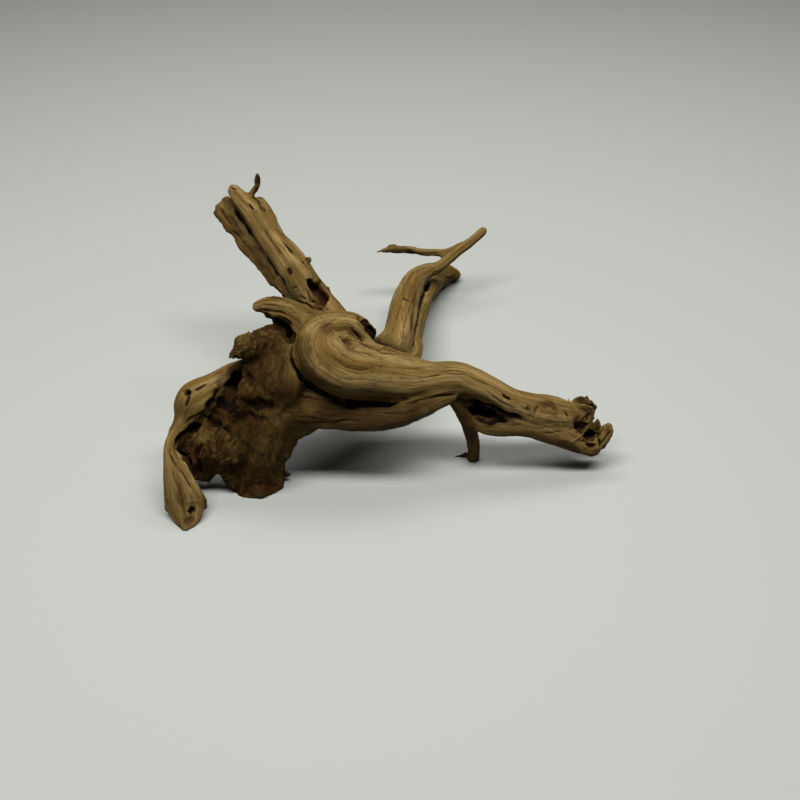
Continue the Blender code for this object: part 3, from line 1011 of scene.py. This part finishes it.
BRANCH_MARKS = {
    "stub_slit": Mark([(283, 299), (289, 301)], 1.0, 2.5, 1.0),
    "stub_line_1": Mark([(259, 301), (270, 300), (282, 302), (294, 305)], 0.8, 0.8, 0.4, 0.3),
    "stub_line_2": Mark([(258, 309), (268, 311), (280, 312), (290, 316)], 0.9, 1.0, 0.6),
    "stub_line_3": Mark([(262, 305), (276, 306), (290, 309)], 0.8, 0.6, 0.3),
    "stub_root": Mark([(292, 298), (298, 302), (307, 304), (314, 309), (318, 312)], 1.1, 1.8, 0.8),
    "stub_root_low": Mark([(309, 312), (313, 314)], 0.9, 1.2, 0.8, 0.3),
    "stub_gap": Mark([(281, 317), (287, 322), (290, 331), (290, 342)], 3.2, 3.4, 1.0),
    "stub_red": Mark([(270, 298), (277, 298), (283, 300)], 2.4, 0, 0.35, 0.8),
    "flake_seam": Mark([(232, 202), (236, 210), (244, 220), (251, 231), (256, 242)], 2.2, 3.2, 1.0),
    "flake_seam_low": Mark(
        [(257, 239), (262, 248), (268, 258), (276, 270), (285, 283), (291, 296)],
        2.0, 2.8, 1.0,
    ),
    "branch_slit": Mark([(248, 203), (251, 207), (253, 210)], 0.9, 1.8, 1.0),
    "branch_top_slit": Mark([(232, 189), (237, 190)], 0.8, 1.4, 0.9),
    "side_seam": Mark([(252, 197), (258, 200), (261, 207), (264, 214)], 1.1, 1.8, 0.9, 0.3),
    "side_pit": Mark([(263, 207), (265, 211)], 0.9, 1.2, 0.8, 0.4),
    "branch_eye": Mark([(289, 269), (291, 272)], 2.3, 2.2, 0.9, 0.7),
    "branch_scar": Mark([(287, 245), (293, 251)], 0.9, 1.4, 0.9),
    "branch_pit": Mark([(303, 261), (304, 263)], 1.2, 1.8, 1.0),
    "branch_cavity": Mark([(307, 281), (313, 287), (320, 297), (328, 309)], 4.0, 3.4, 0.6, 0.9),
    "branch_cavity_left": Mark([(307, 289), (313, 299), (320, 307), (325, 312)], 3.4, 2.4, 0.6, 0.9),
    "branch_waist": Mark([(262, 226), (268, 236), (275, 246), (283, 256)], 1.8, 0.8, 0.12),
    "rim_gap": Mark([(281, 240), (287, 246), (292, 252), (297, 256)], 1.4, 2.4, 0.9),
    "tip_blob": Mark([(229, 190), (236, 191), (241, 195)], 3.6, -0.9),
    # This mark paints shade along the flake.
    "flake_shade": Mark([(222, 210), (236, 229), (250, 248), (264, 267), (279, 287)], 4.5, 0, 0.50, 0.15),
    "bud_black": Mark([(257, 173), (258, 179), (256, 185)], 3.2, 0, 1.0),
    "twig_scar_dark": Mark([(256, 187), (256, 191), (254, 195)], 1.6, 0, 0.6, 0.2),
    "branch_brown_1": Mark([(293, 289), (297, 287)], 1.2, 0.8, 0.7, 0.3),
    "branch_brown_2": Mark([(300, 296), (305, 299)], 1.0, 0.9, 0.8, 0.3),
    "flake_line_1": Mark([(230, 230), (238, 236), (247, 246), (256, 256)], 1.0, 1.2, 0.7),
    "flake_line_2": Mark([(226, 212), (234, 221), (241, 231), (249, 240)], 0.9, 1.0, 0.6),
    "flake_line_3": Mark([(220, 208), (226, 218), (233, 228)], 0.9, 1.0, 0.6),
    "back_split": Mark(
        [(431, 278), (425, 290), (420, 305), (417, 322), (414, 340), (411, 353)],
        1.7, 2.8, 1.0,
    ),
    "back_split_top": Mark([(429, 279), (426, 288), (423, 297)], 2.4, 2.6, 1.0),
    "back_split_side": Mark([(417, 286), (415, 300), (413, 316), (410, 335)], 2.2, 1.0, 0.45, 0.4),
    "twig_dark": Mark([(408, 251), (413, 252)], 2.0, 0.6, 0.7, 0.2),
    "back_eye": Mark([(404, 298), (408, 300)], 1.7, 1.8, 0.85, 0.7),
    "back_line_1": Mark([(409, 285), (401, 303), (395, 322), (390, 341)], 0.8, 0.7, 0.35),
    "back_line_2": Mark([(424, 280), (414, 296), (407, 316), (401, 340)], 0.8, 0.7, 0.35),
    "back_stub_end": Mark([(444, 277), (450, 278), (455, 274)], 1.4, 1.0, 0.6, 0.3),
    "twig_line": Mark([(395, 249), (414, 252), (432, 253), (446, 252)], 0.7, 0.6, 0.5),
    "peg_line": Mark([(470, 415), (472, 430), (472, 448)], 0.8, 0.8, 0.6, 0.3),
    "peg_shade": Mark([(456, 404), (464, 414), (470, 428), (471, 446)], 7.0, 0, 0.7, 0.1),
}

MARK_SETS = (HEAD_MARKS, STRAND_MARKS, HOLLOW_MARKS, STUMP_MARKS, BRANCH_MARKS)
MARKS = [mark for marks in MARK_SETS for mark in marks.values()]
print(len(MARKS), "marks drawn in the picture")

# %% Carry a line from the picture onto the skin
MARK_STEP = 0.5


def skin_tree(mesh):
    """The mesh in the form that rays and nearest places are looked up in."""
    points = [vertex.co for vertex in mesh.vertices]
    return BVHTree.FromPolygons(points, [polygon.vertices for polygon in mesh.polygons])


def traced(line, tree):
    """The places on the skin, in millimetres, that a line in the picture passes over."""
    places = []
    for (u0, v0), (u1, v1) in zip(line, line[1:]):
        count = max(1, round(math.hypot(u1 - u0, v1 - v0) / MARK_STEP))
        for i in range(count + 1):
            share = i / count
            direction = ray(u0 + (u1 - u0) * share, v0 + (v1 - v0) * share)
            place, normal, face, distance = tree.ray_cast(eye, direction)
            if place is not None:
                places.append(place / MM)
    return np.array(places).reshape(-1, 3)


tree = skin_tree(wood.data)

# %% Press a mark into the skin
# A mark's colour reaches a little further than its groove. Towards both ends, over TAPER of its length, its
# width shrinks to TIP_WIDTH of itself, and on the way it wanders between LEAST_WIDTH and all of it.
DARK_REACH = 1.35
TAPER = 0.25
TIP_WIDTH = 0.35
MEAN_WIDTH = 0.9
LEAST_WIDTH = 0.5
WANDER = 0.55
WANDER_SIZE = 7.0
SIDESTEP = 0.5
DARK_GAIN = 1.6
RED_GAIN = 1.4
CHUNK = 40


def ease(share):
    """A share from 0 to 1 that starts and ends gently."""
    share = np.clip(share, 0, 1)
    return share * share * (3 - 2 * share)


def nearness(places, reach):
    """The skin's points within reach of the places, their distance, and how far along the line each is."""
    rows = []
    gaps = []
    sharing = []
    for first in range(0, len(places), CHUNK):
        some = places[first:first + CHUNK]
        inside = np.all(skin > some.min(0) - reach, axis=1) & np.all(skin < some.max(0) + reach, axis=1)
        near = np.flatnonzero(inside)
        if not len(near):
            continue
        apart = np.linalg.norm(skin[near, None] - some[None], axis=2)
        nearest = apart.argmin(1)
        rows.append(near)
        gaps.append(apart[np.arange(len(near)), nearest])
        sharing.append((first + nearest) / max(len(places) - 1, 1))
    if not rows:
        return np.empty(0, int), np.empty(0), np.empty(0)
    return np.concatenate(rows), np.concatenate(gaps), np.concatenate(sharing)


pressed = np.zeros(len(skin))
raised = np.zeros(len(skin))
mark_dark = np.zeros(len(skin))
mark_red = np.zeros(len(skin))


def wandering(places, width):
    """The places pushed a little aside, as far as the mark is wide."""
    pushes = [noise.noise_vector(Vector(place) / WANDER_SIZE) for place in places]
    return places + SIDESTEP * width * np.array(pushes).reshape(-1, 3)


def press(mark, places, tapered=True):
    """Notes how far a mark presses or raises the skin, and how it colours it."""
    rows, gaps, sharing = nearness(wandering(places, mark.width), mark.width * DARK_REACH)
    ending = np.minimum(sharing, 1 - sharing) / TAPER if tapered else 1
    uneven = np.array([noise.noise(Vector(place) / WANDER_SIZE) for place in skin[rows]])
    slim = TIP_WIDTH + (1 - TIP_WIDTH) * ease(ending)
    slim = slim * np.clip(MEAN_WIDTH + WANDER * uneven, LEAST_WIDTH, 1.0)
    depth = ease(1 - gaps / (mark.width * slim)) * slim * abs(mark.depth)
    colour = ease(1 - gaps / (mark.width * slim * DARK_REACH)) * slim
    target = pressed if mark.depth > 0 else raised
    np.maximum.at(target, rows, depth)
    np.maximum.at(mark_dark, rows, np.minimum(1, colour * DARK_GAIN) * mark.dark)
    np.maximum.at(mark_red, rows, np.minimum(1, colour * RED_GAIN) * mark.red)


for mark in MARKS:
    press(mark, traced(mark.line, tree), tapered=len(mark.line) > 2)
print("the marks reach", int((pressed > 0.05).sum()), "points, and go", round(pressed.max(), 1), "mm deep")

# %% [markdown]
# The picture shows one side only, but the root has splits all round. The rest are drawn by rule: each
# starts at a point chosen with a seeded draw, follows its own strand for one to three centimetres, and
# stays on the skin by asking for the nearest place on it at every step. Such a mark has no line in the
# picture, and the deeper it is, the darker the shade painted into it.

# %% Splits along the strands, all round
SPLIT_SEED = 11
SPLIT_COUNT = 150
SPLIT_LENGTH = (8.0, 34.0)
SPLIT_STEP = 1.0
SPLIT_DEPTH = (0.6, 1.8)
SPLIT_WIDTH = (0.7, 1.2)
SPLIT_DARK = 0.35
SPLIT_DARKER = 0.3
SPLIT_RED = 0.2
SEEN_BELOW = -0.15
SILKY_BELOW = 0.45


def nearest_tangent(place):
    """The direction of the strand that the place belongs to."""
    choice = None
    for line in LINES.values():
        apart = np.linalg.norm(line.middles - place, axis=1)
        nearest = apart.argmin()
        width = apart[nearest] / max(line.wide[nearest], line.deep[nearest])
        if choice is None or width < choice[0]:
            choice = (width, line.tangents[nearest])
    return choice[1]


def followed(start, length):
    """Places along the grain from a point on the skin."""
    place = start
    places = [place]
    for _ in range(round(length / SPLIT_STEP)):
        ahead = place + nearest_tangent(place) * SPLIT_STEP
        place = np.array(tree.find_nearest(Vector(ahead * MM))[0]) / MM
        places.append(place)
    return np.array(places)


draw = np.random.default_rng(SPLIT_SEED)
seen = normals @ np.array(sight) < SEEN_BELOW
hidden_silky = np.flatnonzero(~seen & (rough < SILKY_BELOW) & ~feet)
for start in draw.choice(hidden_silky, SPLIT_COUNT, replace=False):
    length = draw.uniform(*SPLIT_LENGTH)
    deep = draw.uniform(*SPLIT_DEPTH)
    split = Mark(None, draw.uniform(*SPLIT_WIDTH), deep, SPLIT_DARK + SPLIT_DARKER * deep, SPLIT_RED)
    press(split, followed(skin[start], length))
print(SPLIT_COUNT, "more splits on the sides that the picture doesn't show")

# %% Move the skin
# Nothing moves up to FLOOR_HOLD, and all of the relief is there FLOOR_CLEAR higher.
FLOOR_HOLD = 0.3
FLOOR_CLEAR = 2.0

held = ease((skin[:, 2] - FLOOR_HOLD) / FLOOR_CLEAR)
moved = skin + normals * ((relief - pressed + raised) * held)[:, None]
low_corner = np.array(box_low) / MM
high_corner = np.array(box_high) / MM
moved = np.clip(moved, low_corner, high_corner)
set_points(wood.data, moved)
print("the skin moved by", round(np.abs(moved - skin).max(), 1), "mm at most")

# %% [markdown]
# ## What each place looks like
# Colour on worn wood follows its form: ridges are rubbed pale and get a painted highlight, furrows get
# dark dust and painted shade, and deep places are painted nearly black for their shade. How far a point
# lies under the mean of its neighbours tells ridge from furrow. It is measured twice, for the fine grain
# and for broad hollows.

# %% Ridge or furrow
FINE_ROUNDS = 4
BROAD_ROUNDS = 40


def hollowness(points, rounds):
    """How far each point lies under its surroundings, in millimetres."""
    calm = points
    for _ in range(rounds):
        calm = neighbour_mean(calm, ends)
    return ((calm - points) * normals).sum(1)


fine_hollow = hollowness(moved, FINE_ROUNDS)
broad_hollow = hollowness(moved, BROAD_ROUNDS)
deep_furrow, deep_hollow = (np.percentile(values, 95) for values in (fine_hollow, broad_hollow))
print(f"furrows lie {deep_furrow:.2f} mm under their sides, hollows {deep_hollow:.2f}")

# %% [markdown]
# The finished skin has more triangles than it needs. Decimation takes them from the calm places and
# leaves them where the form is sharp. The painter's numbers are then carried over from the nearest point
# of the full skin.

# %% Thin out the skin
MOST_TRIANGLES = 190000

qualities = {
    "grain": grain,
    "zone": np.stack([rough, np.clip(dark, 0, 1), mark_dark, mark_red], 1),
    "relief": np.stack([fine_hollow, broad_hollow, facing_up], 1),
}
finder = KDTree(len(moved))
for i, point in enumerate(moved):
    finder.insert(point, i)
finder.balance()

thin = wood.modifiers.new("thin", "DECIMATE")
thin.ratio = MOST_TRIANGLES / (2 * len(wood.data.polygons))
thin.use_collapse_triangulate = True
wood.data = applied(wood)
wood.data.name = "worn_wood"
wood.data.polygons.foreach_set("use_smooth", [True] * len(wood.data.polygons))
thinned, _ = skin_arrays(wood.data)
set_points(wood.data, np.clip(thinned, low_corner, high_corner))
nearest = [finder.find(point)[1] for point in thinned]
print("thinned to", len(wood.data.polygons), "triangles")

# %% Hand the numbers to the material
def give(name, kind, field, rows):
    """Stores one row of numbers for each point of the skin."""
    layer = wood.data.attributes.new(name, kind, "POINT")
    layer.data.foreach_set(field, rows.astype(np.float32).ravel())


give("grain", "FLOAT_VECTOR", "vector", qualities["grain"][nearest])
give("relief", "FLOAT_VECTOR", "vector", qualities["relief"][nearest])
give("zone", "FLOAT_COLOR", "color", qualities["zone"][nearest])
print("painter's numbers on", len(nearest), "points")

# %% [markdown]
# ## The wood's finish
# Bare weathered root has a low silky sheen and no gloss. Its colour is built as the wood came to it: tan
# with paler and browner streaks along the grain and hair-fine dark lines between them, then the dark
# crumbled wood of the stump with its red-brown rot and pale fibres. Painted shade darkens what faces down,
# so the undersides turn dark brown. Furrows get dust and painted shade, and cracks and hollows are painted
# nearly black for their shade. Every streak is a noise in grain coordinates, so it turns with each limb.

# %% Helpers for the material's nodes
WOOD_SPECULAR = 0.06

wood_material, wood_shader = new_material("bare_root_wood", WOOD_SPECULAR)
wood_nodes = wood_material.node_tree.nodes
wood_links = wood_material.node_tree.links


def put(socket, value):
    """Sets a socket to a number, a colour or another node's output."""
    if isinstance(value, bpy.types.NodeSocket):
        wood_links.new(value, socket)
    else:
        socket.default_value = value


def quality(name):
    """A node that reads the painter's numbers."""
    node = wood_nodes.new("ShaderNodeAttribute")
    node.attribute_name = name
    return node


def parts_of(vector):
    """The vector's three numbers."""
    node = wood_nodes.new("ShaderNodeSeparateXYZ")
    put(node.inputs[0], vector)
    return node.outputs


def combined(kind, *values):
    """The outcome of one step of arithmetic, such as MULTIPLY."""
    node = wood_nodes.new("ShaderNodeMath")
    node.operation = kind
    for socket, value in zip(node.inputs, values):
        put(socket, value)
    return node.outputs[0]


def between(value, low, high):
    """0 where the value is low, 1 where it is high, and smooth between."""
    node = wood_nodes.new("ShaderNodeMapRange")
    node.interpolation_type = "SMOOTHSTEP"
    put(node.inputs["Value"], value)
    node.inputs["From Min"].default_value = low
    node.inputs["From Max"].default_value = high
    return node.outputs["Result"]


def stretched(vector, scales):
    """A place times its scales, which are per millimetre for grain places and per metre for others."""
    node = wood_nodes.new("ShaderNodeVectorMath")
    node.operation = "MULTIPLY"
    put(node.inputs[0], vector)
    node.inputs[1].default_value = scales
    return node.outputs[0]


def clouds(vector, detail=2.0, roughness=0.5):
    """A soft noise, mostly between 0.3 and 0.7."""
    node = wood_nodes.new("ShaderNodeTexNoise")
    put(node.inputs["Vector"], vector)
    node.inputs["Scale"].default_value = 1.0
    node.inputs["Detail"].default_value = detail
    node.inputs["Roughness"].default_value = roughness
    return node.outputs["Fac"]


def lines_in(vector, thin):
    """1 on fine wandering lines, which lie where a noise passes its middle value."""
    away = combined("ABSOLUTE", combined("SUBTRACT", clouds(vector, 3.0, 0.6), 0.5))
    return between(away, thin, 0.0)


def blend(share, one, other):
    """The one colour where the share is 0, and the other where it is 1."""
    node = wood_nodes.new("ShaderNodeMix")
    node.data_type = "RGBA"
    put(node.inputs["Factor"], share)
    put(node.inputs["A"], one)
    put(node.inputs["B"], other)
    return node.outputs["Result"]


def covered(colour, paint, share, cover):
    """The colour with a paint over it, as thick as cover where the share is 1."""
    return blend(combined("MULTIPLY", share, cover), colour, paint)


# %% Streaks in the silky wood
PALE = (0.252, 0.170, 0.062, 1)
TAN = (0.146, 0.087, 0.021, 1)
BROWN = (0.058, 0.027, 0.006, 1)
OLIVE = (0.094, 0.064, 0.014, 1)

grain_place = quality("grain").outputs["Vector"]
object_place = wood_nodes.new("ShaderNodeTexCoord").outputs["Object"]
fine_streaks = clouds(stretched(grain_place, (1.1, 1.1, 0.05)), 3.0, 0.6)
broad_streaks = clouds(stretched(grain_place, (0.22, 0.22, 0.014)), 2.0)
patches = clouds(stretched(object_place, (34, 34, 34)), 2.0)

silky_colour = blend(between(broad_streaks, 0.36, 0.64), TAN, PALE)
silky_colour = covered(silky_colour, OLIVE, between(patches, 0.50, 0.70), cover=0.8)
silky_colour = covered(silky_colour, BROWN, between(fine_streaks, 0.48, 0.70), cover=0.6)

# %% Hair-fine dark lines along the grain
close_lines = lines_in(stretched(grain_place, (0.50, 0.50, 0.020)), 0.030)
wide_lines = lines_in(stretched(grain_place, (0.16, 0.16, 0.010)), 0.012)
line_patches = between(clouds(stretched(grain_place, (0.15, 0.15, 0.03)), 1.0), 0.42, 0.62)
veins = combined("MAXIMUM", combined("MULTIPLY", close_lines, line_patches), wide_lines)
silky_colour = covered(silky_colour, BROWN, veins, cover=0.6)

# %% Crumbled wood
ROT_DARK = (0.013, 0.006, 0.0015, 1)
ROT_BROWN = (0.034, 0.017, 0.003, 1)
ROT_OLIVE = (0.106, 0.070, 0.017, 1)
RED_ROT = (0.046, 0.012, 0.005, 1)
PALE_FIBRE = (0.200, 0.140, 0.058, 1)

crumb = clouds(stretched(object_place, (300, 300, 190)), 4.0, 0.65)
mottle = clouds(stretched(object_place, (75, 75, 45)), 3.0)
fibres = clouds(stretched(grain_place, (0.9, 0.9, 0.09)), 3.0, 0.6)
rough_colour = blend(between(crumb, 0.35, 0.62), ROT_DARK, ROT_BROWN)
rough_colour = covered(rough_colour, ROT_OLIVE, between(mottle, 0.48, 0.66), cover=0.7)
rough_colour = covered(rough_colour, PALE_FIBRE, between(fibres, 0.56, 0.74), cover=0.30)
red_spots = clouds(stretched(object_place, (95, 95, 95)), 2.0)
rough_colour = covered(rough_colour, RED_ROT, between(red_spots, 0.52, 0.66), cover=0.6)

# %% Layers by place
zone = quality("zone")
rough_share, dark_share, mark_share = parts_of(zone.outputs["Vector"])
red_share = zone.outputs["Alpha"]
fine_low, broad_low, upward = parts_of(quality("relief").outputs["Vector"])
# The next four colours paint light and shade as well as dirt and wear: near-black shade with dirt in cracks,
# dust and shade in furrows, shade under the limbs, and an olive highlight on worn crumbled ridges.
CRACK_DIRT_AND_SHADE = (0.006, 0.003, 0.0012, 1)
DUST_AND_SHADE = (0.030, 0.014, 0.0035, 1)
UNDERSIDE_SHADE = (0.030, 0.014, 0.003, 1)
RIDGE_WEAR_AND_HIGHLIGHT = (0.130, 0.090, 0.030, 1)

# Ridges are rubbed pale by wear and also get a painted highlight: pale on the silky wood, olive on the
# crumbled.
ridges = between(fine_low, -0.05, -0.35)
silky_colour = covered(silky_colour, PALE, ridges, cover=0.35)
rough_colour = covered(rough_colour, RIDGE_WEAR_AND_HIGHLIGHT, ridges, cover=0.60)
colour = blend(between(rough_share, 0.25, 0.80), silky_colour, rough_colour)
# The strands' darkness: their own dark wood, and painted shade on the strands that lie under other wood.
colour = covered(colour, ROT_BROWN, dark_share, cover=0.75)
# Painted shade on the faces that turn down.
colour = covered(colour, UNDERSIDE_SHADE, between(upward, 0.16, -0.45), cover=0.80)
# Dark dust and painted shade in the fine furrows, the broad hollows and the marks.
colour = covered(colour, DUST_AND_SHADE, between(fine_low, 0.02, 0.26), cover=0.75)
colour = covered(colour, DUST_AND_SHADE, between(broad_low, 0.2, 1.8), cover=0.65)
colour = covered(colour, DUST_AND_SHADE, between(mark_share, 0.05, 0.75), cover=0.75)
colour = covered(colour, RED_ROT, red_share, cover=0.85)
# Near-black painted shade with dark dirt in the deepest cracks and hollows.
colour = covered(colour, CRACK_DIRT_AND_SHADE, between(mark_share, 0.70, 1.0), cover=0.95)
put(wood_shader.inputs["Base Color"], colour)

# %% Fine relief and sheen in the shader
GRAIN_BUMP = 0.8
BUMP_HEIGHT = 0.6
VEIN_DEPTH = 0.45
SILKY_ROUGHNESS = 0.62
DULL_ROUGHNESS = 0.92

hair = clouds(stretched(grain_place, (1.6, 1.6, 0.07)), 4.0, 0.65)
hair = combined("SUBTRACT", hair, combined("MULTIPLY", veins, VEIN_DEPTH))
added = combined("MULTIPLY", between(rough_share, 0.1, 0.7), DULL_ROUGHNESS - SILKY_ROUGHNESS)
put(wood_shader.inputs["Roughness"], combined("ADD", SILKY_ROUGHNESS, added))
bump = wood_nodes.new("ShaderNodeBump")
bump.inputs["Strength"].default_value = GRAIN_BUMP
bump.inputs["Distance"].default_value = BUMP_HEIGHT * MM
height = blend(between(rough_share, 0.2, 0.7), hair, combined("ADD", crumb, fibres))
put(bump.inputs["Height"], height)
put(wood_shader.inputs["Normal"], bump.outputs["Normal"])
wood.data.materials.clear()
wood.data.materials.append(wood_material)
print(len(wood_nodes), "nodes in the wood's material")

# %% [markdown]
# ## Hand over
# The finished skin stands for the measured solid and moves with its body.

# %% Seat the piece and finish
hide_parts("driftwood")
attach(wood, "root")
